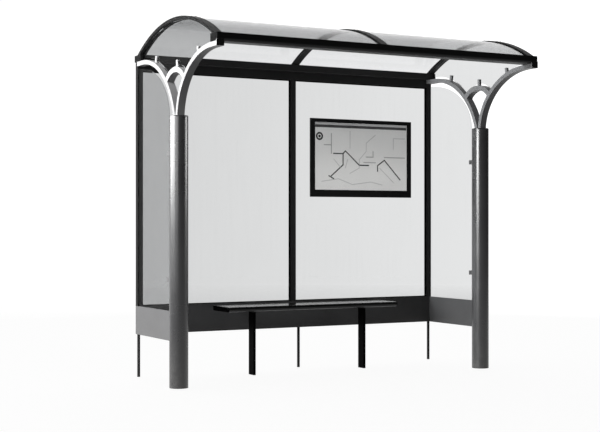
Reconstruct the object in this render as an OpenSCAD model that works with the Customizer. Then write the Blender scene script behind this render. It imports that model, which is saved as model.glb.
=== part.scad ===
// Bus shelter: two round front columns with branching brackets, a barrel vault roof,
// a glazed rear wall and sides above a floating kick band, a bench and a map case.
// Millimetres. Origin on the ground at the centre of the roof's footprint.
// +X along the length to the right, +Y towards the rear wall, +Z up.

/* [Roof] */
// overall length of the roof
roof_len = 2392; // [2300:4:2600]
// overall depth of the roof, front face to rear face
roof_depth = 1314; // [1300:2:1360]
// height of the top of both roof beams
beam_top_z = 2170; // [2140:5:2400]
// rise of the vault above the beams
vault_rise = 172; // [140:1:220]
// inset of the vault's front foot from the front beam's face
vault_front_inset = 31; // [24:1:56]
// inset of the vault's rear foot from the rear beam's face
vault_rear_inset = 50; // [30:1:66]
// width of the ribs and of the strips that cap them
rib_w = 50; // [40:1:60]
// thickness of the curved ribs
rib_t = 8; // [6:1:14]
// thickness of the roof sheets
sheet_t = 5; // [4:0.5:8]
// thickness of the cap strips over the sheets
cap_t = 7; // [5:0.5:10]

/* [Roof beams] */
// depth of the front beam
front_beam_depth = 97; // [90:1:110]
// height of the front beam
front_beam_h = 52; // [46:1:60]
// radius of the front beam's lower front edge
front_beam_r = 19; // [12:1:26]
// depth of the rear beam
rear_beam_depth = 108; // [100:1:120]
// height of the rear beam
rear_beam_h = 45; // [40:1:52]
// chamfer on the rear beam's lower rear edge
rear_beam_chamfer = 5; // [2:1:12]
// thickness of the plates that close the beam ends
end_plate_t = 3; // [2:0.5:6]

/* [Columns and branches] */
// setback of the column axes from the ends of the roof
col_end_setback = 21; // [16:1:60]
// setback of the column axis from the roof's front face
col_setback = 614; // [600:1:626]
// diameter of the columns
col_d = 120; // [108:1:130]
// drop from the tops of the beams to the tops of the columns
col_drop = 452; // [430:2:470]
// thickness of the column caps
col_cap_t = 8; // [6:1:14]
// chamfer round the column caps
col_cap_chamfer = 3; // [1:0.5:4]
// width of the branch bars, along the shelter's length
branch_w = 50; // [40:1:56]
// thickness of the branch bars
branch_t = 29; // [22:1:32]
// offset of each branch bar from the column axis at its foot
branch_offset = 19; // [15:1:26]
// distance from the column axis to where the front branches run level
front_branch_level_y = 533; // [480:1:560]
// distance from the column axis to where the rear branches run level
rear_branch_level_y = 552; // [500:1:600]
// half depth of the front branches' curve as a ratio of its half height
front_branch_ratio = 1.24; // [1.1:0.01:1.4]
// half depth of the rear branches' curve as a ratio of its half height
rear_branch_ratio = 1.03; // [1:0.01:1.2]
// setback of the small arch behind the column axis
arch_setback = 10; // [0:1:16]
// half width of the small arch's outer curve
arch_half_w = 216; // [200:1:230]
// rise of the small arch's outer curve
arch_rise = 214; // [200:1:230]
// drop from the tops of the beams to the small arch's crown
arch_drop = 144; // [134:1:158]
// thickness of the small arch at its crown
arch_t = 34; // [26:1:40]
// half width of the opening under the small arch
arch_open_half_w = 140; // [130:1:150]
// rise of the opening under the small arch
arch_open_rise = 108; // [90:1:116]
// diameter of the round pegs
peg_d = 27; // [22:1:36]
// height of the peg on the arch
arch_peg_h = 45; // [36:1:54]
// height of the pegs on the branches
branch_peg_h = 42; // [34:1:52]
// distance of the rear peg from the column axis
rear_peg_y = 359; // [340:1:380]
// distance of the front peg from the column axis
front_peg_y = 312; // [290:1:330]
// lean of the two outer pegs towards the column
peg_lean = 11; // [0:1:18]
// gap between the gable glass and the bars under it
gable_gap = 14; // [8:1:20]

/* [Rear wall] */
// side of the square posts
post_s = 38; // [34:1:44]
// setback of the posts' rear face from the roof's rear face
wall_setback = 14; // [6:1:22]
// height of the rail above the rear glass
rail_h = 58; // [46:1:68]
// thickness of all the glass
glass_t = 10; // [8:1:12]
// height of the kick band's upper edge above the seat
kick_over_seat = 7; // [0:1:30]
// height of the kick band
kick_h = 190; // [160:1:210]
// diameter of the rear legs
leg_d = 20; // [16:1:26]
// distance of the middle leg to the right of centre
mid_leg_x = 51; // [0:1:80]
// distance of the two corner legs outside the corner posts' axes
corner_leg_outset = 5; // [0:1:8]

/* [Sides] */
// thickness of the side kick panels
side_kick_t = 16; // [14:1:22]
// projection of the side kick panels past the corner posts
side_kick_proud = 1; // [0:0.5:1.5]
// length of the curved top of the side glass, from the rear wall to its front edge
side_glass_len = 528; // [500:1:540]
// rise of the side glass above the column's height
side_glass_rise = 356; // [330:1:362]
// height of the upper glass clamp
clamp_upper_z = 1480; // [1400:5:1600]
// height of the lower glass clamp
clamp_lower_z = 679; // [600:5:760]
// height of each clamp
clamp_h = 30; // [24:1:40]
// width of each clamp
clamp_w = 26; // [22:1:30]
// grip of each clamp on the glass
clamp_grip = 16; // [10:1:24]

/* [Bench] */
// length of the seat with its end caps
seat_len = 1344; // [1200:4:1400]
// depth of the seat
seat_depth = 251; // [230:1:280]
// thickness of the seat
seat_t = 33; // [30:1:36]
// height of the top of the seat
seat_top_z = 472; // [450:1:500]
// gap between the seat and the rear kick panel
seat_gap = 82; // [60:1:100]
// thickness of the caps at the ends of the seat
seat_cap_t = 4; // [3:0.5:8]
// distance from the centre to the left bench leg
bench_leg_left_x = 450; // [380:2:500]
// distance from the centre to the right bench leg
bench_leg_right_x = 430; // [380:2:500]
// thickness of the bench legs
bench_leg_t = 18; // [14:1:24]
// depth of the bench legs
bench_leg_depth = 84; // [70:1:100]
// setback of the bench legs from the front of the seat
bench_leg_setback = 54; // [40:1:90]
// thickness of the brackets under the seat
bracket_t = 8; // [6:1:10]
// width of the brackets under the seat
bracket_w = 40; // [32:1:50]
// setback of the brackets from the front of the seat
bracket_setback = 42; // [30:1:80]

/* [Map case] */
// shift of the map case from the middle of the right bay towards the middle post
map_shift = 11.5; // [0:0.5:18]
// height of the map case's lower edge
map_bottom_z = 1229; // [1150:1:1260]
// width of the map case
map_w = 868; // [800:1:900]
// height of the map case
map_h = 571; // [520:1:600]
// depth of the map case in front of the glass
map_depth = 16; // [14:1:24]
// width of the map frame's upright bars
map_bar_side = 36; // [28:1:44]
// width of the map frame's top bar
map_bar_top = 26; // [20:1:34]
// width of the map frame's bottom bar
map_bar_bottom = 52; // [40:1:60]

/* [Build] */
// part to draw

/* [Hidden] */

// clearance beside curved faces that meet
fit = 0.3;
// roundness of large and small turned shapes
fn_big = 240;
fn_mid = 96;
fn_small = 48;
// straight facets along a curved bar and round a beam's lower edge
bar_steps = 40;
edge_steps = 12;

// roof
front_y = -roof_depth / 2;
rear_y = roof_depth / 2;
front_beam_z = beam_top_z - front_beam_h;
rear_beam_z = beam_top_z - rear_beam_h;
rear_beam_y = rear_y - rear_beam_depth;
vault_half = (roof_depth - vault_front_inset - vault_rear_inset) / 2;
vault_cy = front_y + vault_front_inset + vault_half;
vault_r = (vault_half * vault_half + vault_rise * vault_rise) / (2 * vault_rise);
vault_cz = beam_top_z + vault_rise - vault_r;
sheet_r = vault_r - cap_t - fit;
rib_r = sheet_r - sheet_t - fit;
rib_x = roof_len / 2 - rib_w / 2;
beam_core_len = roof_len - 2 * end_plate_t;

// columns and branches
col_x = roof_len / 2 - col_end_setback;
col_y = front_y + col_setback;
col_h = beam_top_z - col_drop;
front_climb = front_beam_z - branch_t / 2 - col_h;
rear_climb = rear_beam_z - branch_t / 2 - col_h;
arch_y = col_y + arch_setback;
arch_top_z = beam_top_z - arch_drop;
arch_open_top_z = arch_top_z - arch_t;

// rear wall and kick band: wall_y runs from the column axis to the posts' front face
post_y = rear_y - wall_setback - post_s;
wall_y = post_y - col_y;
kick_top_z = seat_top_z + kick_over_seat;
kick_bottom_z = kick_top_z - kick_h;
rail_z = rear_beam_z - rail_h;
wall_half = col_x + post_s / 2;
glass_y = post_y + post_s / 2;
bay_w = col_x - post_s;
side_kick_x = wall_half + side_kick_proud - side_kick_t / 2;

// bench
seat_rear_y = post_y - seat_gap;
seat_front_y = seat_rear_y - seat_depth;
seat_bottom_z = seat_top_z - seat_t;
// half the flat left between the roundings of the seat's front edge and of the legs
edge_flat = 1;
seat_rear_r = 4;
bench_leg_y = seat_front_y + bench_leg_setback + bench_leg_depth / 2;
bench_leg_h = seat_bottom_z - bracket_t;

// map case: its place, its back, its glazing and how far the glazing is let in
map_front_y = glass_y - glass_t / 2 - map_depth;
map_x = col_x / 2 - map_shift;
map_back_t = 4;
map_glazing_t = 3;
map_glazing_inset = 3;
map_open_w = map_w - 2 * map_bar_side;
map_open_h = map_h - map_bar_top - map_bar_bottom;
map_open_z = map_bottom_z + map_bar_bottom;

// block with its corner at the given point
module block(x, y, z, sx, sy, sz) {
    translate([x, y, z])
        cube([sx, sy, sz]);
}

// extrudes an outline drawn in depth and height along the length, centred on x
module along_length(x, len) {
    translate([x - len / 2, 0, 0])
        rotate([90, 0, 90])
            linear_extrude(len)
                children();
}

// A branch bar's centre line leaves the column's head as part of an oval, then runs level.
// Each is given as [side, level distance, climb, ratio, end distance]: side is +1 for the
// rear and -1 for the front, and the distances are from the column axis.
front_bar = [-1, front_branch_level_y, front_climb, front_branch_ratio, col_setback];
rear_bar = [1, rear_branch_level_y, rear_climb, rear_branch_ratio, wall_y];

// half height of the oval that carries a bar's centre line
function oval_half_h(bar) =
    (pow((bar[1] - branch_offset) / bar[3], 2) + pow(bar[2], 2)) / (2 * bar[2]);

// curve of a branch bar at a shift above its centre line, from its foot to its level end
function branch_side(bar, shift) =
    let (
        half_h = oval_half_h(bar),
        top = col_h + bar[2],
        start = acos((half_h - bar[2]) / (half_h + shift)),
        curve = [
            for (i = [0 : bar_steps])
                let (a = start * (1 - i / bar_steps))
                [
                    col_y + bar[0] * (bar[1] - (half_h * bar[3] + shift) * sin(a)),
                    top - half_h + (half_h + shift) * cos(a)
                ]
        ]
    )
    concat(curve, [[col_y + bar[0] * bar[4], top + shift]]);

// points of a list taken from its end to its start
function backwards(list) = [
    for (i = [len(list) - 1 : -1 : 0]) list[i]
];

// outline of a branch bar between its upper and lower curves
module branch_outline(bar) {
    polygon(concat(branch_side(bar, branch_t / 2), backwards(branch_side(bar, -branch_t / 2))));
}

// everything under the upper curve of a branch and a gap above it
module under_branch(bar, gap) {
    upper = branch_side(bar, branch_t / 2 + gap);
    polygon(concat(upper, [[col_y + bar[0] * bar[4], col_h]]));
}

module rear_branch(x) {
    along_length(x, branch_w)
        branch_outline(rear_bar);
}

// front branch with a square head that fills the corner under the beam's rounded edge
module front_branch(x) {
    along_length(x, branch_w) {
        branch_outline(front_bar);
        difference() {
            translate([front_y, front_beam_z - branch_t / 2])
                square([front_beam_r, front_beam_r + branch_t / 2]);
            translate([front_y + front_beam_r, front_beam_z + front_beam_r])
                circle(r = front_beam_r + fit, $fn = 4 * edge_steps);
        }
    }
}

// half oval with its crown at the given height
module half_oval(half_w, rise, top_z) {
    polygon([
        for (i = [0 : bar_steps])
            let (a = 180 * i / bar_steps)
            [arch_y + half_w * cos(a), top_z - rise + rise * sin(a)]
    ]);
}

module branch_arch(x) {
    along_length(x, branch_w)
        difference() {
            half_oval(arch_half_w, arch_rise, arch_top_z);
            half_oval(arch_open_half_w, arch_open_rise, arch_open_top_z);
            translate([arch_y - arch_open_half_w, col_h])
                square([2 * arch_open_half_w, arch_open_top_z - arch_open_rise - col_h]);
            under_branch(rear_bar, fit);
            under_branch(front_bar, fit);
        }
}

// gable pane: under the end rib, between the beams, and a gap above the bars
module gable_outline(gap) {
    front_edge = front_y + front_beam_depth;
    difference() {
        intersection() {
            translate([vault_cy, vault_cz])
                circle(r = rib_r - rib_t - fit, $fn = fn_big);
            translate([front_edge, arch_top_z - arch_rise / 2])
                square([rear_beam_y - front_edge, beam_top_z + vault_rise - arch_top_z + arch_rise]);
        }
        half_oval(arch_half_w + gap, arch_rise + gap, arch_top_z + gap);
        under_branch(rear_bar, gap);
        under_branch(front_bar, gap);
    }
}

// slot in a peg that holds the edge of the gable pane
module gable_slot(x) {
    along_length(x, glass_t + 2 * fit)
        gable_outline(gable_gap - fit);
}

// height of a branch's upper curve at a distance from the column axis
function branch_top(bar, dist) =
    let (half_h = oval_half_h(bar))
    col_h + bar[2] - half_h + (half_h + branch_t / 2)
        * sqrt(1 - pow((bar[1] - dist) / (half_h * bar[3] + branch_t / 2), 2));

// round peg that leans towards the column, sunk to the branch and cut to its curve
module branch_peg(x, bar, dist) {
    difference() {
        translate([x, col_y + bar[0] * dist, branch_top(bar, dist)])
            rotate([bar[0] * peg_lean, 0, 0])
                translate([0, 0, -peg_d])
                    cylinder(d = peg_d, h = peg_d + branch_peg_h, $fn = fn_small);
        along_length(x, branch_w + peg_d)
            under_branch(bar, fit);
        gable_slot(x);
    }
}

// round peg that stands on the crown of the arch
module arch_peg(x) {
    difference() {
        translate([x, arch_y, arch_open_top_z])
            cylinder(d = peg_d, h = arch_t + arch_peg_h, $fn = fn_small);
        along_length(x, branch_w + peg_d)
            half_oval(arch_half_w + fit, arch_rise + fit, arch_top_z + fit);
        gable_slot(x);
    }
}

module branch_pegs(x) {
    branch_peg(x, rear_bar, rear_peg_y);
    branch_peg(x, front_bar, front_peg_y);
    arch_peg(x);
}

module column(x) {
    translate([x, col_y, 0])
        cylinder(d = col_d, h = col_h - col_cap_t, $fn = fn_mid);
}

module column_cap(x) {
    translate([x, col_y, col_h - col_cap_t]) {
        cylinder(d = col_d, h = col_cap_t - col_cap_chamfer, $fn = fn_mid);
        translate([0, 0, col_cap_t - col_cap_chamfer])
            cylinder(d1 = col_d, d2 = col_d - 2 * col_cap_chamfer, h = col_cap_chamfer, $fn = fn_mid);
    }
}

// curved slab of the vault between two radii, standing on the beams
module vault_slab(x, len, outer, inner) {
    intersection() {
        translate([x - len / 2, vault_cy, vault_cz])
            rotate([0, 90, 0])
                difference() {
                    cylinder(r = outer, h = len, $fn = fn_big);
                    translate([0, 0, -1])
                        cylinder(r = inner, h = len + 2, $fn = fn_big);
                }
        block(x - len / 2 - 1, front_y, beam_top_z, len + 2, roof_depth, 2 * vault_rise);
    }
}

module roof_rib(x) {
    vault_slab(x, rib_w, rib_r, rib_r - rib_t);
}

module rib_cap(x) {
    vault_slab(x, rib_w, vault_r, vault_r - cap_t);
}

module roof_sheet(side) {
    sheet_len = roof_len / 2 - fit;
    vault_slab(side * (fit + sheet_len / 2), sheet_len, sheet_r, sheet_r - sheet_t);
}

module front_beam_outline() {
    y0 = front_y;
    r = front_beam_r;
    polygon(concat(
        [[y0 + front_beam_depth, front_beam_z], [y0 + front_beam_depth, beam_top_z], [y0, beam_top_z]],
        [
            for (i = [0 : edge_steps])
                let (a = 180 + 90 * i / edge_steps)
                [y0 + r + r * cos(a), front_beam_z + r + r * sin(a)]
        ]
    ));
}

module rear_beam_outline() {
    c = rear_beam_chamfer;
    polygon([
        [rear_beam_y, rear_beam_z],
        [rear_y - c, rear_beam_z],
        [rear_y, rear_beam_z + c],
        [rear_y, beam_top_z],
        [rear_beam_y, beam_top_z]
    ]);
}

module rear_post(x) {
    block(x - post_s / 2, post_y, kick_top_z, post_s, post_s, rail_z - kick_top_z);
}

module rear_glass(side) {
    x = side > 0 ? post_s / 2 : -post_s / 2 - bay_w;
    block(x, glass_y - glass_t / 2, kick_top_z, bay_w, glass_t, rail_z - kick_top_z);
}

// side pane with a straight front edge and a top that follows the rear branch
module side_glass(side) {
    along_length(side * side_kick_x, glass_t)
        polygon(concat(
            [[post_y, kick_top_z], [post_y - side_glass_len, kick_top_z]],
            [
                for (i = [0 : bar_steps])
                    let (a = 90 * i / bar_steps)
                    [post_y - side_glass_len * cos(a), col_h + side_glass_rise * sin(a)]
            ]
        ));
}

// side kick panel from the rear kick panel to the column it meets
module side_kick_panel(side) {
    difference() {
        block(
            side * side_kick_x - side_kick_t / 2, col_y, kick_bottom_z,
            side_kick_t, wall_y, kick_h
        );
        translate([side * col_x, col_y, kick_bottom_z - 1])
            cylinder(d = col_d + 2 * fit, h = kick_h + 2, $fn = fn_mid);
    }
}

module rear_leg(x) {
    translate([x, glass_y, 0])
        cylinder(d = leg_d, h = kick_bottom_z, $fn = fn_small);
}

// clamp that reaches from the column and grips the front edge of the side glass
module glass_clamp(side, z) {
    edge_y = post_y - side_glass_len;
    difference() {
        block(
            side * side_kick_x - clamp_w / 2, col_y, z - clamp_h / 2,
            clamp_w, edge_y + clamp_grip - col_y, clamp_h
        );
        block(
            side * side_kick_x - glass_t / 2 - fit, edge_y - fit, z - clamp_h,
            glass_t + 2 * fit, clamp_grip + 1, 2 * clamp_h
        );
        translate([side * col_x, col_y, z - clamp_h])
            cylinder(d = col_d + 2 * fit, h = 2 * clamp_h, $fn = fn_mid);
    }
}

// outline of the seat: rounded front edge and a slightly eased rear edge
module seat_outline() {
    nose = seat_t / 2 - edge_flat;
    ease = seat_rear_r;
    hull() {
        translate([seat_front_y + nose, seat_bottom_z + nose])
            circle(r = nose, $fn = fn_small);
        translate([seat_front_y + nose, seat_top_z - nose])
            circle(r = nose, $fn = fn_small);
        translate([seat_rear_y - ease, seat_bottom_z + ease])
            circle(r = ease, $fn = fn_small);
        translate([seat_rear_y - ease, seat_top_z - ease])
            circle(r = ease, $fn = fn_small);
    }
}

// upright flat leg with rounded long edges
module bench_leg(x) {
    r = bench_leg_t / 2 - edge_flat;
    flat = bench_leg_depth / 2 - r;
    side = bench_leg_t / 2 - r;
    translate([x, bench_leg_y, 0])
        linear_extrude(bench_leg_h)
            hull() {
                for (sx = [-1, 1]) {
                    for (sy = [-1, 1]) {
                        translate([sx * side, sy * flat])
                            circle(r = r, $fn = fn_small);
                    }
                }
            }
}

// flat bracket under the seat, back to the rear kick panel that carries it
module bench_bracket(x) {
    y0 = seat_front_y + bracket_setback;
    block(x - bracket_w / 2, y0, seat_bottom_z - bracket_t, bracket_w, post_y - y0, bracket_t);
}

module column_left() {
    color([0.2, 0.2, 0.21]) column(-col_x);
}

module column_right() {
    color([0.2, 0.2, 0.21]) column(col_x);
}

module column_caps() {
    color([0.2, 0.2, 0.21]) {
        column_cap(-col_x);
        column_cap(col_x);
    }
}

module rear_branch_left() {
    color([0.45, 0.45, 0.46]) rear_branch(-col_x);
}

module rear_branch_right() {
    color([0.45, 0.45, 0.46]) rear_branch(col_x);
}

module front_branch_left() {
    color([0.45, 0.45, 0.46]) front_branch(-col_x);
}

module front_branch_right() {
    color([0.45, 0.45, 0.46]) front_branch(col_x);
}

module branch_arch_left() {
    color([0.45, 0.45, 0.46]) branch_arch(-col_x);
}

module branch_arch_right() {
    color([0.45, 0.45, 0.46]) branch_arch(col_x);
}

module branch_pegs_left() {
    color([0.45, 0.45, 0.46]) branch_pegs(-col_x);
}

module branch_pegs_right() {
    color([0.45, 0.45, 0.46]) branch_pegs(col_x);
}

module front_beam() {
    color([0.12, 0.12, 0.13]) along_length(0, beam_core_len) front_beam_outline();
}

module rear_beam() {
    color([0.12, 0.12, 0.13]) along_length(0, beam_core_len) rear_beam_outline();
}

module beam_end_plates() {
    plate_x = roof_len / 2 - end_plate_t / 2;
    color([0.12, 0.12, 0.13])
        for (side = [-1, 1]) {
            along_length(side * plate_x, end_plate_t) front_beam_outline();
            along_length(side * plate_x, end_plate_t) rear_beam_outline();
        }
}

module roof_rib_left() {
    color([0.15, 0.15, 0.16]) roof_rib(-rib_x);
}

module roof_rib_middle() {
    color([0.15, 0.15, 0.16]) roof_rib(0);
}

module roof_rib_right() {
    color([0.15, 0.15, 0.16]) roof_rib(rib_x);
}

module rib_cap_left() {
    color([0.12, 0.12, 0.13]) rib_cap(-rib_x);
}

module rib_cap_middle() {
    color([0.12, 0.12, 0.13]) rib_cap(0);
}

module rib_cap_right() {
    color([0.12, 0.12, 0.13]) rib_cap(rib_x);
}

module roof_sheet_left() {
    color([0.75, 0.76, 0.78, 0.6]) roof_sheet(-1);
}

module roof_sheet_right() {
    color([0.75, 0.76, 0.78, 0.6]) roof_sheet(1);
}

module top_rail() {
    color([0.12, 0.12, 0.13])
        block(-wall_half, post_y, rail_z, 2 * wall_half, post_s, rail_h);
}

module rear_post_left() {
    color([0.18, 0.18, 0.19]) rear_post(-col_x);
}

module rear_post_middle() {
    color([0.18, 0.18, 0.19]) rear_post(0);
}

module rear_post_right() {
    color([0.18, 0.18, 0.19]) rear_post(col_x);
}

module rear_glass_left() {
    color([0.8, 0.84, 0.85, 0.35]) rear_glass(-1);
}

module rear_glass_right() {
    color([0.8, 0.84, 0.85, 0.35]) rear_glass(1);
}

module side_glass_left() {
    color([0.8, 0.84, 0.85, 0.35]) side_glass(-1);
}

module side_glass_right() {
    color([0.8, 0.84, 0.85, 0.35]) side_glass(1);
}

module gable_glass() {
    color([0.8, 0.84, 0.85, 0.35])
        for (side = [-1, 1])
            along_length(side * col_x, glass_t)
                gable_outline(gable_gap);
}

module rear_kick_panel() {
    color([0.22, 0.22, 0.23])
        block(-wall_half, post_y, kick_bottom_z, 2 * wall_half, post_s, kick_h);
}

module side_kick_panel_left() {
    color([0.22, 0.22, 0.23]) side_kick_panel(-1);
}

module side_kick_panel_right() {
    color([0.22, 0.22, 0.23]) side_kick_panel(1);
}

module rear_leg_left() {
    color([0.3, 0.3, 0.31]) rear_leg(-col_x - corner_leg_outset);
}

module rear_leg_middle() {
    color([0.3, 0.3, 0.31]) rear_leg(mid_leg_x);
}

module rear_leg_right() {
    color([0.3, 0.3, 0.31]) rear_leg(col_x + corner_leg_outset);
}

module glass_clamps() {
    color([0.45, 0.45, 0.46])
        for (side = [-1, 1]) {
            glass_clamp(side, clamp_upper_z);
            glass_clamp(side, clamp_lower_z);
        }
}

module bench_seat() {
    color([0.2, 0.2, 0.21])
        along_length(0, seat_len - 2 * seat_cap_t)
            seat_outline();
}

module seat_end_caps() {
    cap_x = seat_len / 2 - seat_cap_t / 2;
    color([0.06, 0.06, 0.06])
        for (side = [-1, 1])
            along_length(side * cap_x, seat_cap_t)
                seat_outline();
}

module bench_legs() {
    color([0.08, 0.08, 0.08]) {
        bench_leg(-bench_leg_left_x);
        bench_leg(bench_leg_right_x);
    }
}

module bench_brackets() {
    color([0.1, 0.1, 0.1]) {
        bench_bracket(-bench_leg_left_x);
        bench_bracket(bench_leg_right_x);
    }
}

// frame round the map, open at the front and closed behind by its back
module map_frame() {
    color([0.05, 0.05, 0.05])
        difference() {
            block(map_x - map_w / 2, map_front_y, map_bottom_z, map_w, map_depth, map_h);
            block(
                map_x - map_open_w / 2, map_front_y - 1, map_open_z,
                map_open_w, map_depth - map_back_t + 1, map_open_h
            );
        }
}

module map_sheet() {
    sheet_d = map_depth - map_back_t - map_glazing_t - map_glazing_inset;
    color([0.75, 0.75, 0.74])
        block(
            map_x - map_open_w / 2, map_front_y + map_glazing_inset + map_glazing_t, map_open_z,
            map_open_w, sheet_d, map_open_h
        );
}

module map_glazing() {
    color([0.85, 0.88, 0.9, 0.3])
        block(
            map_x - map_open_w / 2, map_front_y + map_glazing_inset, map_open_z,
            map_open_w, map_glazing_t, map_open_h
        );
}

column_left();
column_right();
column_caps();
rear_branch_left();
rear_branch_right();
front_branch_left();
front_branch_right();
branch_arch_left();
branch_arch_right();
branch_pegs_left();
branch_pegs_right();
front_beam();
rear_beam();
beam_end_plates();
roof_rib_left();
roof_rib_middle();
roof_rib_right();
rib_cap_left();
rib_cap_middle();
rib_cap_right();
roof_sheet_left();
roof_sheet_right();
top_rail();
rear_post_left();
rear_post_middle();
rear_post_right();
rear_glass_left();
rear_glass_right();
side_glass_left();
side_glass_right();
rear_kick_panel();
side_kick_panel_left();
side_kick_panel_right();
rear_leg_left();
rear_leg_middle();
rear_leg_right();
gable_glass();
glass_clamps();
bench_seat();
seat_end_caps();
bench_legs();
bench_brackets();
map_frame();
map_sheet();
map_glazing();
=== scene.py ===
import math
import bpy
import bmesh
from mathutils import Vector, Matrix


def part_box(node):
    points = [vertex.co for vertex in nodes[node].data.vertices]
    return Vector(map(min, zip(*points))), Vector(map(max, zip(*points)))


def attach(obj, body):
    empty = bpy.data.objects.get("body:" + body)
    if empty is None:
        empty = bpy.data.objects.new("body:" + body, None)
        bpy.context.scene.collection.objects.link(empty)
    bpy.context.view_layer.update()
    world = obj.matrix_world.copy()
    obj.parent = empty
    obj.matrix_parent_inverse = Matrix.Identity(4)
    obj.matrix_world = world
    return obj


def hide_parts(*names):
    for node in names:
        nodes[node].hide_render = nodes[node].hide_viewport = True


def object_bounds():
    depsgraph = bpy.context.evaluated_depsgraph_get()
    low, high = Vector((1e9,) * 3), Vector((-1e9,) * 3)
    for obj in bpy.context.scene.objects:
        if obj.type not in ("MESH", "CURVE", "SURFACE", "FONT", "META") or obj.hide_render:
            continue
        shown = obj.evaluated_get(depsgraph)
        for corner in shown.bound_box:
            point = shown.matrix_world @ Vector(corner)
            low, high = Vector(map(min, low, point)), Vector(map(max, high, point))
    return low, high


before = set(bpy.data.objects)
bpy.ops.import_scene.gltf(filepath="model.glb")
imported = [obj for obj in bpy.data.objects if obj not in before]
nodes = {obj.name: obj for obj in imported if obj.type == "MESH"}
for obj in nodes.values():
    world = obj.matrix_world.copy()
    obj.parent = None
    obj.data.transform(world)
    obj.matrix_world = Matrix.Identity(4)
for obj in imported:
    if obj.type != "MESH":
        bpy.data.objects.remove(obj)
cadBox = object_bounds()
scene = bpy.context.scene
print("frame loaded:", len(nodes), "parts")


def addNode(tree, kind, **settings):
    node = tree.nodes.new(kind)
    for key, value in settings.items():
        setattr(node, key, value)
    return node


def mathNode(tree, operation, a, b=None, clamp=False):
    node = addNode(tree, "ShaderNodeMath", operation=operation, use_clamp=clamp)
    for index, value in enumerate([a, b]):
        if value is None:
            continue
        if hasattr(value, "is_linked"):
            tree.links.new(value, node.inputs[index])
        else:
            node.inputs[index].default_value = value
    return node.outputs[0]


def timesNode(tree, a, b, clamp=False):
    return mathNode(tree, "MULTIPLY", a, b, clamp)


def rangeNode(tree, value, fromMin, fromMax, toMin, toMax):
    node = addNode(tree, "ShaderNodeMapRange")
    tree.links.new(value, node.inputs["Value"])
    ends = {"From Min": fromMin, "From Max": fromMax, "To Min": toMin, "To Max": toMax}
    for name, number in ends.items():
        if hasattr(number, "is_linked"):
            tree.links.new(number, node.inputs[name])
        else:
            node.inputs[name].default_value = number
    return node.outputs[0]


def mixColour(tree, factor, first, second):
    node = addNode(tree, "ShaderNodeMix", data_type="RGBA")
    for socket, value in [(node.inputs[0], factor), (node.inputs[6], first), (node.inputs[7], second)]:
        if hasattr(value, "is_linked"):
            tree.links.new(value, socket)
        elif isinstance(value, (int, float)):
            socket.default_value = value
        else:
            socket.default_value = (*value, 1)
    return node.outputs[2]


def noiseNode(tree, vector, scale, detail=3, rough=0.5):
    node = addNode(tree, "ShaderNodeTexNoise")
    node.inputs["Detail"].default_value = detail
    node.inputs["Roughness"].default_value = rough
    tree.links.new(vector, node.inputs["Vector"])
    if hasattr(scale, "is_linked"):
        tree.links.new(scale, node.inputs["Scale"])
    else:
        node.inputs["Scale"].default_value = scale
    return node.outputs["Fac"]


def startGroup(name, inputs, outputs):
    tree = bpy.data.node_groups.new(name, "ShaderNodeTree")
    for label, kind, value in inputs:
        socket = tree.interface.new_socket(label, in_out="INPUT", socket_type=kind)
        if value is not None:
            socket.default_value = value
    for label, kind in outputs:
        tree.interface.new_socket(label, in_out="OUTPUT", socket_type=kind)
    return tree, addNode(tree, "NodeGroupInput"), addNode(tree, "NodeGroupOutput")


def placeGroup(tree, group, vector, **values):
    node = addNode(tree, "ShaderNodeGroup", node_tree=group)
    tree.links.new(vector, node.inputs["Vector"])
    for label, value in values.items():
        node.inputs[label].default_value = value
    return node


# sprayed paint: fine orange peel, slow cloudiness and a few scuffs
def makePaintSkin():
    tree, put, out = startGroup(
        "paintSkin",
        [("Vector", "NodeSocketVector", None), ("Peel", "NodeSocketFloat", 700),
         ("Cloud", "NodeSocketFloat", 3)],
        [("Height", "NodeSocketFloat"), ("Cloudiness", "NodeSocketFloat"), ("Scuffs", "NodeSocketFloat")])
    peel = noiseNode(tree, put.outputs["Vector"], put.outputs["Peel"], 2)
    cloud = noiseNode(tree, put.outputs["Vector"], put.outputs["Cloud"], 5, 0.6)
    scuff = noiseNode(tree, put.outputs["Vector"], 46, 6, 0.7)
    tree.links.new(peel, out.inputs["Height"])
    tree.links.new(rangeNode(tree, cloud, 0.3, 0.7, 0, 1), out.inputs["Cloudiness"])
    tree.links.new(rangeNode(tree, scuff, 0.64, 0.78, 0, 1), out.inputs["Scuffs"])
    return tree


# softened corners, and the paint rubbed thin along them
def makeEdgeWear():
    tree, put, out = startGroup(
        "edgeWear",
        [("Vector", "NodeSocketVector", None), ("Radius", "NodeSocketFloat", 0.0015),
         ("Amount", "NodeSocketFloat", 0.5)],
        [("Wear", "NodeSocketFloat"), ("Normal", "NodeSocketVector")])
    bevel = addNode(tree, "ShaderNodeBevel", samples=6)
    tree.links.new(put.outputs["Radius"], bevel.inputs["Radius"])
    geometry = addNode(tree, "ShaderNodeNewGeometry")
    dot = addNode(tree, "ShaderNodeVectorMath", operation="DOT_PRODUCT")
    tree.links.new(bevel.outputs[0], dot.inputs[0])
    tree.links.new(geometry.outputs["Normal"], dot.inputs[1])
    edge = rangeNode(tree, dot.outputs["Value"], 0.995, 0.86, 0, 1)
    patches = rangeNode(tree, noiseNode(tree, put.outputs["Vector"], 38, 5, 0.65), 0.42, 0.62, 0, 1)
    worn = timesNode(tree, timesNode(tree, edge, patches), put.outputs["Amount"], clamp=True)
    tree.links.new(worn, out.inputs["Wear"])
    tree.links.new(bevel.outputs[0], out.inputs["Normal"])
    return tree


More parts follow.
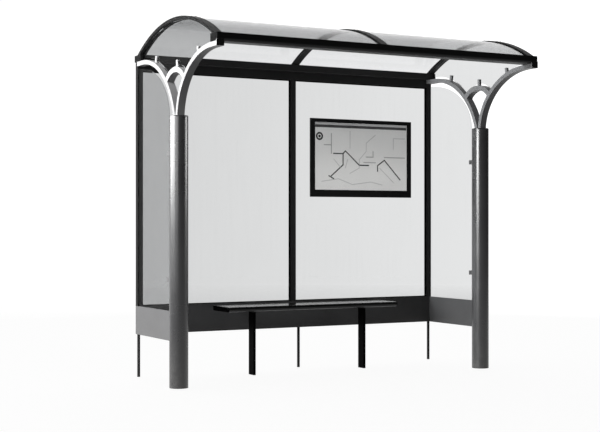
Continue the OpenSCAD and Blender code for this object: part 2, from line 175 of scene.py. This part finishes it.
# dirt thrown up from the ground, thinning out with height
def makeSplash():
    tree, put, out = startGroup(
        "groundSplash",
        [("Vector", "NodeSocketVector", None), ("Reach", "NodeSocketFloat", 0.4),
         ("Amount", "NodeSocketFloat", 0.4)],
        [("Dirt", "NodeSocketFloat")])
    split = addNode(tree, "ShaderNodeSeparateXYZ")
    tree.links.new(put.outputs["Vector"], split.inputs[0])
    low = rangeNode(tree, split.outputs["Z"], 0, put.outputs["Reach"], 1, 0)
    spots = rangeNode(tree, noiseNode(tree, put.outputs["Vector"], 24, 6, 0.7), 0.35, 0.7, 0.15, 1)
    fall = mathNode(tree, "POWER", low, 1.8)
    dirt = timesNode(tree, timesNode(tree, fall, spots), put.outputs["Amount"], clamp=True)
    tree.links.new(dirt, out.inputs["Dirt"])
    return tree


# dust that settles where a surface faces up
def makeSettledDust():
    tree, put, out = startGroup(
        "settledDust",
        [("Vector", "NodeSocketVector", None), ("Amount", "NodeSocketFloat", 0.3)],
        [("Dust", "NodeSocketFloat")])
    geometry = addNode(tree, "ShaderNodeNewGeometry")
    split = addNode(tree, "ShaderNodeSeparateXYZ")
    tree.links.new(geometry.outputs["Normal"], split.inputs[0])
    up = rangeNode(tree, split.outputs["Z"], 0.35, 1, 0, 1)
    drift = rangeNode(tree, noiseNode(tree, put.outputs["Vector"], 9, 5, 0.6), 0.3, 0.75, 0.2, 1)
    dust = timesNode(tree, timesNode(tree, up, drift), put.outputs["Amount"], clamp=True)
    tree.links.new(dust, out.inputs["Dust"])
    return tree


# faint runs of dried rain and wiping marks on clear sheets
def makeRainMarks():
    tree, put, out = startGroup(
        "rainMarks",
        [("Vector", "NodeSocketVector", None), ("Runs", "NodeSocketFloat", 42),
         ("Amount", "NodeSocketFloat", 0.5)],
        [("Marks", "NodeSocketFloat"), ("Ripple", "NodeSocketFloat")])
    stretch = addNode(tree, "ShaderNodeMapping")
    stretch.inputs["Scale"].default_value = (1, 1, 0.05)
    tree.links.new(put.outputs["Vector"], stretch.inputs["Vector"])
    runs = rangeNode(tree, noiseNode(tree, stretch.outputs[0], put.outputs["Runs"], 4, 0.6), 0.5, 0.8, 0, 1)
    film = rangeNode(tree, noiseNode(tree, put.outputs["Vector"], 2.2, 5, 0.6), 0.3, 0.75, 0, 0.6)
    marks = timesNode(tree, mathNode(tree, "ADD", runs, film), put.outputs["Amount"], clamp=True)
    tree.links.new(marks, out.inputs["Marks"])
    tree.links.new(noiseNode(tree, put.outputs["Vector"], 5, 2), out.inputs["Ripple"])
    return tree


paintSkin = makePaintSkin()
edgeWear = makeEdgeWear()
groundSplash = makeSplash()
settledDust = makeSettledDust()
rainMarks = makeRainMarks()


def startMaterial(name):
    material = bpy.data.materials.new(name)
    material.use_nodes = True
    tree = material.node_tree
    shader = tree.nodes["Principled BSDF"]
    place = addNode(tree, "ShaderNodeTexCoord").outputs["Object"]
    return material, tree, shader, place


grime = {"splash": (0.16, 0.155, 0.145), "dust": (0.22, 0.215, 0.21), "seal": (0.002, 0.002, 0.002)}


def makePaint(name, look):
    material, tree, shader, place = startMaterial(name)
    base = look["colour"]
    skin = placeGroup(tree, paintSkin, place, Peel=look["peel"], Cloud=look["cloud"])
    edge = placeGroup(tree, edgeWear, place, Radius=look["corner"], Amount=look["wear"])
    splash = placeGroup(tree, groundSplash, place, Reach=look["reach"], Amount=look["dirt"])
    dust = placeGroup(tree, settledDust, place, Amount=look["dust"])
    darker = [c * (1 - look["uneven"]) for c in base]
    lighter = [c * (1 + look["uneven"]) for c in base]
    colour = mixColour(tree, skin.outputs["Cloudiness"], darker, lighter)
    colour = mixColour(tree, edge.outputs["Wear"], colour, look["rubbed"])
    colour = mixColour(tree, splash.outputs["Dirt"], colour, grime["splash"])
    colour = mixColour(tree, dust.outputs["Dust"], colour, grime["dust"])
    if look["sealedEnds"]:  # the cut front ends of the bars are sealed in black
        split = addNode(tree, "ShaderNodeSeparateXYZ")
        tree.links.new(place, split.inputs[0])
        sealed = mathNode(tree, "LESS_THAN", split.outputs["Y"], cadBox[0][1] + 0.0004)
        colour = mixColour(tree, sealed, colour, grime["seal"])
    tree.links.new(colour, shader.inputs["Base Color"])
    smooth = look["roughness"]
    rough = rangeNode(tree, skin.outputs["Cloudiness"], 0, 1, smooth - 0.04, smooth + 0.05)
    scuffed = timesNode(tree, skin.outputs["Scuffs"], look["scuffing"])
    rough = mathNode(tree, "ADD", rough, scuffed)
    dirty = timesNode(tree, splash.outputs["Dirt"], 0.4)
    rough = mathNode(tree, "ADD", rough, dirty, clamp=True)
    tree.links.new(rough, shader.inputs["Roughness"])
    bump = addNode(tree, "ShaderNodeBump")
    bump.inputs["Strength"].default_value = look["peelDepth"]
    bump.inputs["Distance"].default_value = 0.0004
    tree.links.new(skin.outputs["Height"], bump.inputs["Height"])
    tree.links.new(edge.outputs["Normal"], bump.inputs["Normal"])
    tree.links.new(bump.outputs[0], shader.inputs["Normal"])
    shader.inputs["Specular IOR Level"].default_value = look["shine"]
    return material


def makeClear(name, look):
    material, tree, shader, place = startMaterial(name)
    rain = placeGroup(tree, rainMarks, place, Runs=look["runs"], Amount=look["marks"])
    # a longer way through the sheet at a slant takes more light
    slant = addNode(tree, "ShaderNodeLayerWeight")
    slant.inputs["Blend"].default_value = 0.5
    far = rangeNode(tree, slant.outputs["Facing"], 0.5, 0.85, 0, 1)
    tint = mixColour(tree, far, look["tint"], look["grazing"])
    film = rangeNode(tree, rain.outputs["Marks"], 0, 1, 0, 1 - look["stain"])
    colour = mixColour(tree, film, tint, (0, 0, 0))
    tree.links.new(colour, shader.inputs["Base Color"])
    rough = rangeNode(tree, rain.outputs["Marks"], 0, 1, look["roughness"], look["roughness"] + 0.06)
    tree.links.new(rough, shader.inputs["Roughness"])
    bump = addNode(tree, "ShaderNodeBump")
    bump.inputs["Strength"].default_value = look["waviness"]
    bump.inputs["Distance"].default_value = 0.001
    tree.links.new(rain.outputs["Ripple"], bump.inputs["Height"])
    tree.links.new(bump.outputs[0], shader.inputs["Normal"])
    shader.inputs["Transmission Weight"].default_value = 1
    shader.inputs["IOR"].default_value = look["ior"]
    shader.inputs["Specular IOR Level"].default_value = look["shine"]
    # lamps shine through the sheet instead of casting a solid shadow
    through = addNode(tree, "ShaderNodeBsdfTransparent")
    through.inputs["Color"].default_value = (*look["shade"], 1)
    light = addNode(tree, "ShaderNodeLightPath")
    blend = addNode(tree, "ShaderNodeMixShader")
    tree.links.new(light.outputs["Is Shadow Ray"], blend.inputs[0])
    tree.links.new(shader.outputs[0], blend.inputs[1])
    tree.links.new(through.outputs[0], blend.inputs[2])
    tree.links.new(blend.outputs[0], tree.nodes["Material Output"].inputs["Surface"])
    return material


def makePrint(name, look):
    material, tree, shader, place = startMaterial(name)
    grain = noiseNode(tree, place, 900, 3, 0.6)
    fade = noiseNode(tree, place, 4, 4, 0.6)
    base = look["colour"]
    darker = [c * (1 - look["uneven"]) for c in base]
    lighter = [min(1, c * (1 + look["uneven"])) for c in base]
    colour = mixColour(tree, rangeNode(tree, fade, 0.3, 0.7, 0, 1), darker, lighter)
    colour = mixColour(tree, rangeNode(tree, grain, 0.45, 0.75, 0, 0.35), colour, [c * 0.8 for c in base])
    tree.links.new(colour, shader.inputs["Base Color"])
    rough = rangeNode(tree, fade, 0.3, 0.7, look["roughness"] - 0.05, look["roughness"] + 0.05)
    tree.links.new(rough, shader.inputs["Roughness"])
    bump = addNode(tree, "ShaderNodeBump")
    bump.inputs["Strength"].default_value = 0.15
    bump.inputs["Distance"].default_value = 0.0002
    tree.links.new(grain, bump.inputs["Height"])
    tree.links.new(bump.outputs[0], shader.inputs["Normal"])
    shader.inputs["Specular IOR Level"].default_value = look["shine"]
    return material


paintBasics = {
    "colour": (0.05, 0.05, 0.052), "rubbed": (0.2, 0.2, 0.2), "uneven": 0.08, "roughness": 0.35,
    "shine": 0.5, "peel": 700, "peelDepth": 0.12, "cloud": 3, "corner": 0.0015, "wear": 0.4,
    "reach": 0.4, "dirt": 0.35, "dust": 0.15, "scuffing": 0.14, "sealedEnds": False,
}
clearBasics = {
    "tint": (0.6, 0.605, 0.607), "grazing": (0.6, 0.605, 0.607), "shade": (0.8, 0.81, 0.815),
    "stain": 0.92, "runs": 42, "marks": 0.3, "roughness": 0.0, "waviness": 0.02, "ior": 1.06, "shine": 0.2,
}
finishes = {
    "columnPaint": dict(
        paintBasics, colour=(0.015, 0.015, 0.0157), roughness=0.28, shine=0.6, corner=0.0006,
        peelDepth=0.04, dirt=0.2, uneven=0.05, scuffing=0.03),
    "branchPaint": dict(
        paintBasics, colour=(0.18, 0.18, 0.182), rubbed=(0.3, 0.3, 0.3), roughness=0.4, shine=0.2,
        corner=0.002, sealedEnds=True),
    "framePaint": dict(
        paintBasics, colour=(0.07, 0.07, 0.071), rubbed=(0.11, 0.11, 0.11), roughness=0.5, shine=0.1),
    "beamPaint": dict(
        paintBasics, colour=(0.002, 0.002, 0.002), rubbed=(0.02, 0.02, 0.02), roughness=0.4, shine=0.15),
    "endPlatePaint": dict(
        paintBasics, colour=(0.01, 0.01, 0.0105), rubbed=(0.04, 0.04, 0.04), roughness=0.5, shine=0.1),
    "clampSteel": dict(
        paintBasics, colour=(0.07, 0.07, 0.071), rubbed=(0.2, 0.2, 0.2), roughness=0.4, shine=0.3,
        dust=0.05),
    "kickPaint": dict(
        paintBasics, colour=(0.05, 0.05, 0.051), roughness=0.42, shine=0.3, dirt=0.2, reach=0.6),
    "legPaint": dict(
        paintBasics, colour=(0.015, 0.015, 0.0155), roughness=0.45, shine=0.1, dirt=0.08),
    "benchPaint": dict(
        paintBasics, colour=(0.003, 0.003, 0.0031), rubbed=(0.05, 0.05, 0.05), roughness=0.15,
        shine=0.2, wear=0.3, dust=0.05, dirt=0),
    "benchLegPaint": dict(
        paintBasics, colour=(0.006, 0.006, 0.006), rubbed=(0.02, 0.02, 0.02), roughness=0.5,
        shine=0.01, corner=0.001, dirt=0.04),
    "blackRubber": dict(
        paintBasics, colour=(0.005, 0.005, 0.005), rubbed=(0.02, 0.02, 0.02), roughness=0.6,
        shine=0.01, wear=0.1, peelDepth=0.05),
    "mapFramePaint": dict(
        paintBasics, colour=(0.006, 0.006, 0.006), rubbed=(0.05, 0.05, 0.05), roughness=0.45, shine=0.2),
}
prints = {
    "mapPaper": {"colour": (0.72, 0.72, 0.71), "uneven": 0.03, "roughness": 0.6, "shine": 0.2},
    "inkBlack": {"colour": (0.03, 0.03, 0.03), "uneven": 0.2, "roughness": 0.5, "shine": 0.2},
    "inkDark": {"colour": (0.06, 0.06, 0.06), "uneven": 0.15, "roughness": 0.5, "shine": 0.2},
    "inkPale": {"colour": (0.5, 0.5, 0.5), "uneven": 0.1, "roughness": 0.5, "shine": 0.2},
    "inkGrey": {"colour": (0.36, 0.36, 0.36), "uneven": 0.1, "roughness": 0.5, "shine": 0.2},
}
materials = {name: makePaint(name, look) for name, look in finishes.items()}
materials["clearGlass"] = makeClear("clearGlass", clearBasics)
materials["caseGlass"] = makeClear("caseGlass", dict(
    clearBasics, tint=(0.98, 0.98, 0.98), grazing=(0.98, 0.98, 0.98), shade=(0.98, 0.98, 0.98), marks=0.15))
materials["roofPlastic"] = makeClear("roofPlastic", dict(
    clearBasics, tint=(0.69, 0.695, 0.7), grazing=(0.42, 0.425, 0.43), shade=(0.72, 0.73, 0.74),
    roughness=0.02, marks=0.5, waviness=0.05, ior=1.2, shine=0.2))
for name, look in prints.items():
    materials[name] = makePrint(name, look)
print("materials ready:", len(materials))

partFinish = {
    "columnPaint": ["column_left", "column_right", "column_caps"],
    "branchPaint": ["rear_branch_left", "rear_branch_right", "front_branch_left", "front_branch_right",
                    "branch_arch_left", "branch_arch_right", "branch_pegs_left", "branch_pegs_right"],
    "beamPaint": ["front_beam"],
    "framePaint": ["roof_rib_left", "roof_rib_middle", "roof_rib_right", "rib_cap_left", "rib_cap_middle",
                   "rib_cap_right", "rear_post_left", "rear_post_middle", "rear_post_right",
                   "rear_beam", "top_rail", "bench_brackets"],
    "endPlatePaint": ["beam_end_plates"],
    "roofPlastic": ["roof_sheet_left", "roof_sheet_right"],
    "clearGlass": ["gable_glass", "rear_glass_left", "rear_glass_right", "side_glass_left",
                   "side_glass_right"],
    "caseGlass": ["map_glazing"],
    "kickPaint": ["rear_kick_panel", "side_kick_panel_left", "side_kick_panel_right"],
    "legPaint": ["rear_leg_left", "rear_leg_middle", "rear_leg_right"],
    "benchPaint": ["bench_seat"],
    "benchLegPaint": ["bench_legs"],
    "clampSteel": ["glass_clamps"],
    "blackRubber": ["seat_end_caps"],
    "mapFramePaint": ["map_frame"],
    "mapPaper": ["map_sheet"],
}
for finish, parts in partFinish.items():
    for part in parts:
        for materialSlot in nodes[part].material_slots:
            materialSlot.material = materials[finish]
print("finishes on the parts")


def makePiece(name, mesh, finish, smooth=None):
    piece = bpy.data.objects.new(name, mesh)
    scene.collection.objects.link(piece)
    mesh.materials.append(materials[finish])
    if smooth is not None:
        for polygon in mesh.polygons:
            polygon.use_smooth = True
        mesh.set_sharp_from_angle(angle=math.radians(smooth))
    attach(piece, "root")
    return piece


def meshFrom(name, bm):
    bmesh.ops.recalc_face_normals(bm, faces=bm.faces)
    mesh = bpy.data.meshes.new(name)
    bm.to_mesh(mesh)
    bm.free()
    return mesh


def circlePoints(radius, steps):
    angles = [2 * math.pi * k / steps for k in range(steps)]
    return [(radius * math.cos(a), radius * math.sin(a)) for a in angles]


# closed box between two corners with its long edges eased
def addBar(bm, low, high, ease=0.0):
    made = bmesh.ops.create_cube(bm, size=1)
    verts = made["verts"]
    size = Vector(high) - Vector(low)
    bmesh.ops.scale(bm, vec=size, verts=verts)
    bmesh.ops.translate(bm, vec=(Vector(low) + Vector(high)) / 2, verts=verts)
    if ease:
        edges = {edge for vert in verts for edge in vert.link_edges}
        bmesh.ops.bevel(bm, geom=list(edges), offset=ease, segments=2, affect="EDGES")


# flat strip of ink along a line drawn on the sheet, standing a hair proud of it
def addStroke(bm, points, width, back, front):
    count = len(points)
    sides = []
    for index in range(count):
        here = Vector(points[index])
        before = (here - Vector(points[index - 1])).normalized() if index else None
        after = (Vector(points[index + 1]) - here).normalized() if index < count - 1 else None
        along = (before or after) if not (before and after) else (before + after).normalized()
        across = Vector((-along.y, along.x))
        reach = width / 2
        if before and after:
            reach /= max(0.5, across.dot(Vector((-before.y, before.x))))
        push = along * (-width / 2 if index == 0 else width / 2 if index == count - 1 else 0)
        sides.append((here + push + across * reach, here + push - across * reach))
    rings = []
    for left, right in sides:
        corners = [(left, front), (right, front), (right, back), (left, back)]
        rings.append([bm.verts.new((p.x, y, p.y)) for p, y in corners])
    for first, second in zip(rings, rings[1:]):
        for k in range(4):
            bm.faces.new([first[k], first[(k + 1) % 4], second[(k + 1) % 4], second[k]])
    bm.faces.new(rings[0])
    bm.faces.new(rings[-1][::-1])


def addRing(bm, centre, outer, inner, back, front, steps=40):
    loops = []
    for radius, y in [(outer, back), (outer, front), (inner, front), (inner, back)]:
        loops.append([
            bm.verts.new((centre[0] + x, y, centre[1] + z)) for x, z in circlePoints(radius, steps)])
    for first, second in zip(loops, loops[1:] + loops[:1]):
        for k in range(steps):
            bm.faces.new([first[k], first[(k + 1) % steps], second[(k + 1) % steps], second[k]])


# domed head as shares of its radius and height, and the six-sided key hole in its top
screwHead = {"profile": [(1, 0), (1, 0.35), (0.86, 0.7), (0.55, 0.93), (0.3, 1)], "key": 0.27, "keyRise": 0.5}


# screw head with its axis along the given direction
def addScrew(bm, place, direction, radius, height, steps=20):
    turn = Vector((0, 0, 1)).rotation_difference(Vector(direction)).to_matrix().to_4x4()
    move = Matrix.Translation(Vector(place)) @ turn
    rings = [
        [bm.verts.new(move @ Vector((x, y, rise * height))) for x, y in circlePoints(share * radius, steps)]
        for share, rise in screwHead["profile"]]
    for first, second in zip(rings, rings[1:]):
        for k in range(steps):
            bm.faces.new([first[k], first[(k + 1) % steps], second[(k + 1) % steps], second[k]])
    key = circlePoints(screwHead["key"] * radius, 6)
    socket = [bm.verts.new(move @ Vector((x, y, screwHead["keyRise"] * height))) for x, y in key]
    bm.faces.new(socket)
    rim = rings[-1]
    for k in range(steps):
        near = socket[round(k * 6 / steps) % 6]
        following = socket[round((k + 1) * 6 / steps) % 6]
        if near is following:
            bm.faces.new([rim[k], rim[(k + 1) % steps], near])
        else:
            bm.faces.new([rim[k], rim[(k + 1) % steps], following, near])
    bm.faces.new(rings[0][::-1])


# printed sheet in the map case: a plain schematic map, its lines laid on a grid of squares
# counted from the top left corner of the sheet
mapPrint = {
    "sheetGap": 0.0007, "ink": 0.00025, "route": 0.009, "street": 0.006, "margin": 0.004,
    "stripTop": 0.003, "stripGap": 0.0005, "bandTop": 0.018, "bandBottom": 0.038,
    "squares": (20, 12), "badge": (1, 2.5), "badgeRadius": 0.03,
    "routes": [
        [(4, 5.5), (6, 5.5), (6.5, 5), (9.5, 7.5), (11.5, 7.5)],
        [(6, 5.5), (6, 7.5), (3.5, 9.5)],
        [(13.5, 8.5), (13.5, 7.5), (15, 6.5), (18.5, 10)],
        [(3, 9.5), (4, 10)],
    ],
    "lanes": [
        [(3.5, 2), (3.5, 5.5)], [(2, 4), (3.5, 4)], [(15, 6), (19.5, 6)],
        [(11, 6), (12.5, 6), (12.5, 5)], [(10.5, 7), (13, 7)],
    ],
    "streets": [
        [(4, 6.5), (5.5, 8)], [(6.5, 8), (7, 6.5)], [(7.5, 1.5), (7.5, 4.5)], [(14, 8), (17, 10.5)],
        [(13, 2), (11, 3.5), (11, 5), (9.5, 6.5), (9.5, 8), (7.5, 9)],
        [(17, 4.5), (17, 2.5), (19.5, 2.5)],
        [(1.5, 10.5), (5, 10), (8, 11), (12, 10.5), (14.5, 11)],
    ],
}


def makeMapPrint():
    low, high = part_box("map_sheet")
    face = low.y + mapPrint["sheetGap"]
    inkFront = face - mapPrint["ink"]
    inkBack = face + 0.0001
    bm = bmesh.new()
    addBar(bm, (low.x, face, low.z), (high.x, high.y, high.z), 0.0003)
    sheet = makePiece("map_printed_sheet", meshFrom("map_printed_sheet", bm), "mapPaper")
    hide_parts("map_sheet")

    across = (high.x - low.x) / mapPrint["squares"][0]
    down = (high.z - low.z) / mapPrint["squares"][1]

    def onSheet(point):
        return (low.x + point[0] * across, high.z - point[1] * down)

    def strokes(name, lines, width, finish):
        bm = bmesh.new()
        for line in lines:
            addStroke(bm, [onSheet(point) for point in line], width, inkBack, inkFront)
        makePiece(name, meshFrom(name, bm), finish)

    strokes("map_routes", mapPrint["routes"], mapPrint["route"], "inkDark")
    strokes("map_lanes", mapPrint["lanes"], mapPrint["route"] * 0.8, "inkGrey")
    strokes("map_streets", mapPrint["streets"], mapPrint["street"], "inkPale")
    bm = bmesh.new()
    left, right = low.x + mapPrint["margin"], high.x - mapPrint["margin"]
    bandTop = high.z - mapPrint["bandTop"]
    addBar(bm, (left, inkFront, high.z - mapPrint["bandBottom"]), (right, inkBack, bandTop))
    makePiece("map_header_band", meshFrom("map_header_band", bm), "inkDark")
    bm = bmesh.new()
    stripLow = bandTop + mapPrint["stripGap"]
    addBar(bm, (left, inkFront, stripLow), (right, inkBack, high.z - mapPrint["stripTop"]))
    makePiece("map_header_strip", meshFrom("map_header_strip", bm), "inkPale")
    bm = bmesh.new()
    centre = onSheet(mapPrint["badge"])
    addRing(bm, centre, mapPrint["badgeRadius"], mapPrint["badgeRadius"] * 0.55, inkBack, inkFront)
    addRing(bm, centre, mapPrint["badgeRadius"] * 0.36, 0.0004, inkBack, inkFront, 24)
    makePiece("map_badge", meshFrom("map_badge", bm), "inkBlack")


makeMapPrint()
print("map print done")

# rubber beads that hold the rear panes, inside and out
glassBead = {"width": 0.007, "proud": 0.004, "ease": 0.0012}


def makeGlassBeads():
    bm = bmesh.new()
    for side in ["left", "right"]:
        low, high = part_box("rear_glass_" + side)
        w, t = glassBead["width"], glassBead["proud"]
        for y0, y1 in [(low.y - t, low.y), (high.y, high.y + t)]:
            addBar(bm, (low.x, y0, low.z), (low.x + w, y1, high.z), glassBead["ease"])
            addBar(bm, (high.x - w, y0, low.z), (high.x, y1, high.z), glassBead["ease"])
            addBar(bm, (low.x + w, y0, low.z), (high.x - w, y1, low.z + w), glassBead["ease"])
            addBar(bm, (low.x + w, y0, high.z - w), (high.x - w, y1, high.z), glassBead["ease"])
    makePiece("rear_glass_beads", meshFrom("rear_glass_beads", bm), "blackRubber", 40)


makeGlassBeads()

# screws through the cap strips, along both edges of each strip
capScrew = {
    "radius": 0.0055, "height": 0.0028, "inset": 0.011, "spacing": 0.15, "first": 0.105, "last": 0.05,
    "sunk": 0.0004,
}


def makeCapScrews():
    lowest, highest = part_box("rib_cap_middle")
    half = (highest.y - lowest.y) / 2
    rise = highest.z - lowest.z
    centreY = (highest.y + lowest.y) / 2
    radius = (half * half + rise * rise) / (2 * rise)
    centreZ = highest.z - radius
    bm = bmesh.new()
    for name in ["left", "middle", "right"]:
        low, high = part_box("rib_cap_" + name)
        for side in [-1, 1]:
            arc = capScrew["first"]
            while arc < radius * math.asin(half / radius) - capScrew["last"]:
                angle = side * arc / radius
                out = Vector((0, math.sin(angle), math.cos(angle)))
                for x in [low.x + capScrew["inset"], high.x - capScrew["inset"]]:
                    foot = Vector((x, centreY, centreZ)) + out * (radius - capScrew["sunk"])
                    addScrew(bm, foot, out, capScrew["radius"], capScrew["height"])
                arc += capScrew["spacing"]
    makePiece("rib_cap_screws", meshFrom("rib_cap_screws", bm), "framePaint", 50)


makeCapScrews()

# screws that hold the end plates on the beams
plateScrew = {"radius": 0.005, "height": 0.002, "sunk": 0.0003, "front": 0.027, "rear": 0.02}


def makePlateScrews():
    bm = bmesh.new()
    low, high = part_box("beam_end_plates")
    frontLow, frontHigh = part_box("front_beam")
    rearLow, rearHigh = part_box("rear_beam")
    for side, x in [(-1, low.x), (1, high.x)]:
        for beamLow, beamHigh in [(frontLow, frontHigh), (rearLow, rearHigh)]:
            middle = (beamLow.z + beamHigh.z) / 2
            for y in [beamLow.y + plateScrew["front"], beamHigh.y - plateScrew["rear"]]:
                seat = (x - side * plateScrew["sunk"], y, middle)
                addScrew(bm, seat, (side, 0, 0), plateScrew["radius"], plateScrew["height"])
    makePiece("end_plate_screws", meshFrom("end_plate_screws", bm), "endPlatePaint", 50)


makePlateScrews()
print("small pieces done")


stage = {"radius": 16, "steps": 96, "clearFrom": 6, "floorGrey": 0.12, "floorGlow": 0.93}


def makeFloor():
    bm = bmesh.new()
    steps = stage["steps"]
    centre = bm.verts.new((0, 0, 0))
    previous = None
    for radius in range(2, stage["radius"] + 1, 2):
        ring = [bm.verts.new((x, y, 0)) for x, y in circlePoints(radius, steps)]
        for k in range(steps):
            if previous is None:
                bm.faces.new([centre, ring[k], ring[(k + 1) % steps]])
            else:
                bm.faces.new([previous[k], ring[k], ring[(k + 1) % steps], previous[(k + 1) % steps]])
        previous = ring
    bmesh.ops.translate(bm, vec=(0, 0, -0.001), verts=bm.verts)
    floor = bpy.data.objects.new("studio_floor", meshFrom("studio_floor", bm))
    scene.collection.objects.link(floor)
    material, tree, shader, place = startMaterial("paleFloor")
    seen = addNode(tree, "ShaderNodeLightPath")
    direct = mathNode(tree, "LESS_THAN", seen.outputs["Diffuse Depth"], 0.5)
    mottle = noiseNode(tree, place, 1.5, 3)
    grey = stage["floorGrey"]
    colour = mixColour(tree, mottle, (grey * 0.98,) * 3, (grey * 1.02,) * 3)
    tree.links.new(colour, shader.inputs["Base Color"])
    shader.inputs["Roughness"].default_value = 0.9
    shader.inputs["Specular IOR Level"].default_value = 0
    shader.inputs["Emission Color"].default_value = (1, 1, 1, 1)
    glow = timesNode(tree, direct, stage["floorGlow"])
    tree.links.new(glow, shader.inputs["Emission Strength"])
    distance = addNode(tree, "ShaderNodeVectorMath", operation="LENGTH")
    tree.links.new(place, distance.inputs[0])
    fade = rangeNode(tree, distance.outputs["Value"], stage["clearFrom"], stage["radius"] - 3, 1, 0)
    tree.links.new(fade, shader.inputs["Alpha"])
    floor.data.materials.append(material)


makeFloor()

studio = {"backdrop": 0.965, "backdropRight": 1.36, "front": 0.07, "behind": 1.0, "above": 0.1}


def makeWorld():
    world = bpy.data.worlds.new("studioWorld")
    world.use_nodes = True
    scene.world = world
    tree = world.node_tree
    background = tree.nodes["Background"]
    way = addNode(tree, "ShaderNodeTexCoord").outputs["Generated"]
    split = addNode(tree, "ShaderNodeSeparateXYZ")
    tree.links.new(way, split.inputs[0])
    behind = rangeNode(tree, split.outputs["Y"], 0.1, 0.75, 0, studio["behind"])
    above = rangeNode(tree, split.outputs["Z"], 0.35, 0.95, 0, studio["above"])
    soft = mathNode(tree, "ADD", mathNode(tree, "ADD", behind, above), studio["front"])
    white = rangeNode(tree, split.outputs["X"], 0.2, 0.65, studio["backdrop"], studio["backdropRight"])
    seen = addNode(tree, "ShaderNodeLightPath")
    bounced = mathNode(tree, "ADD", seen.outputs["Diffuse Depth"], seen.outputs["Glossy Depth"])
    direct = mathNode(tree, "LESS_THAN", bounced, 0.5)
    mix = addNode(tree, "ShaderNodeMix", data_type="FLOAT")
    tree.links.new(direct, mix.inputs[0])
    tree.links.new(soft, mix.inputs[2])
    tree.links.new(white, mix.inputs[3])
    tree.links.new(mix.outputs[0], background.inputs["Strength"])
    background.inputs["Color"].default_value = (1, 1, 1, 1)


makeWorld()

leftBranches = ["rear_branch_left", "front_branch_left", "branch_arch_left", "branch_pegs_left"]
rightBranches = ["rear_branch_right", "front_branch_right", "branch_arch_right", "branch_pegs_right"]
lowParts = ["rear_kick_panel", "side_kick_panel_left", "side_kick_panel_right", "rear_leg_left",
            "rear_leg_middle", "rear_leg_right"]
mapParts = ["map_printed_sheet", "map_routes", "map_lanes", "map_streets", "map_header_band",
            "map_header_strip", "map_badge"]
lamps = {
    "keySoftbox": {
        "place": (-4.3, 1.0, 2.7), "aim": (-1.0, 0.4, 1.9), "size": (5.0, 2.8), "power": 980,
        "onto": ["column_left", "column_caps"] + lowParts},
    "cornerSoftbox": {
        "place": (-4.4, -2.9, 2.5), "aim": (-1.1, 0.0, 1.5), "size": (2.2, 2.6), "power": 110,
        "onto": ["column_left"]},
    "rimSoftbox": {
        "place": (4.6, -1.0, 2.6), "aim": (1.0, -0.3, 1.7), "size": (3.5, 2.4), "power": 260,
        "onto": ["column_left"]},
    "rightSoftbox": {
        "place": (-3.8, -1.5, 2.6), "aim": (1.1, 0.0, 1.6), "size": (2.4, 2.8), "power": 600,
        "onto": ["column_right"]},
    "passSoftbox": {
        "place": (-3.0, 2.6, 2.5), "aim": (1.1, 0.0, 1.6), "size": (3.6, 2.8), "power": 1100,
        "onto": ["column_right"]},
    "branchSoftbox": {
        "place": (-4.3, 0.15, 2.7), "aim": (-1.0, 0.15, 1.9), "size": (2.4, 2.8), "power": 730,
        "onto": leftBranches + rightBranches + ["glass_clamps"]},
    "fillSoftbox": {
        "place": (-4.3, 0.15, 2.7), "aim": (-1.0, 0.15, 1.9), "size": (2.4, 2.8), "power": 10, "onto": None},
    "mapSoftbox": {
        "place": (-0.6, -4.0, 3.2), "aim": (0.5, 0.6, 1.55), "size": (2.0, 1.5), "power": 205,
        "onto": mapParts},
}


# a softbox may be flagged off everything but the parts it is set for
def makeLamp(name, look):
    light = bpy.data.lights.new(name, "AREA")
    light.shape = "RECTANGLE"
    light.size, light.size_y = look["size"]
    light.energy = look["power"]
    lamp = bpy.data.objects.new(name, light)
    scene.collection.objects.link(lamp)
    lamp.location = look["place"]
    lamp.rotation_euler = (Vector(look["aim"]) - Vector(look["place"])).to_track_quat("-Z", "Y").to_euler()
    lamp.visible_camera = False
    if look["onto"]:
        lit = bpy.data.collections.new(name + "Parts")
        for part in look["onto"]:
            lit.objects.link(nodes[part] if part in nodes else bpy.data.objects[part])
        lamp.light_linking.receiver_collection = lit


for name, look in lamps.items():
    makeLamp(name, look)

view = {"place": (-4.4657, -7.626, 1.049), "turn": -28.77, "lens": 78.22, "rise": 0.00937}
cameraData = bpy.data.cameras.new("viewCamera")
cameraData.sensor_width = 36
cameraData.lens = view["lens"]
cameraData.shift_y = view["rise"]
camera = bpy.data.objects.new("viewCamera", cameraData)
camera.location = view["place"]
camera.rotation_euler = (math.radians(90), 0, math.radians(view["turn"]))
scene.collection.objects.link(camera)
scene.camera = camera
scene.view_settings.view_transform = "Standard"
print("stage, light and camera done")
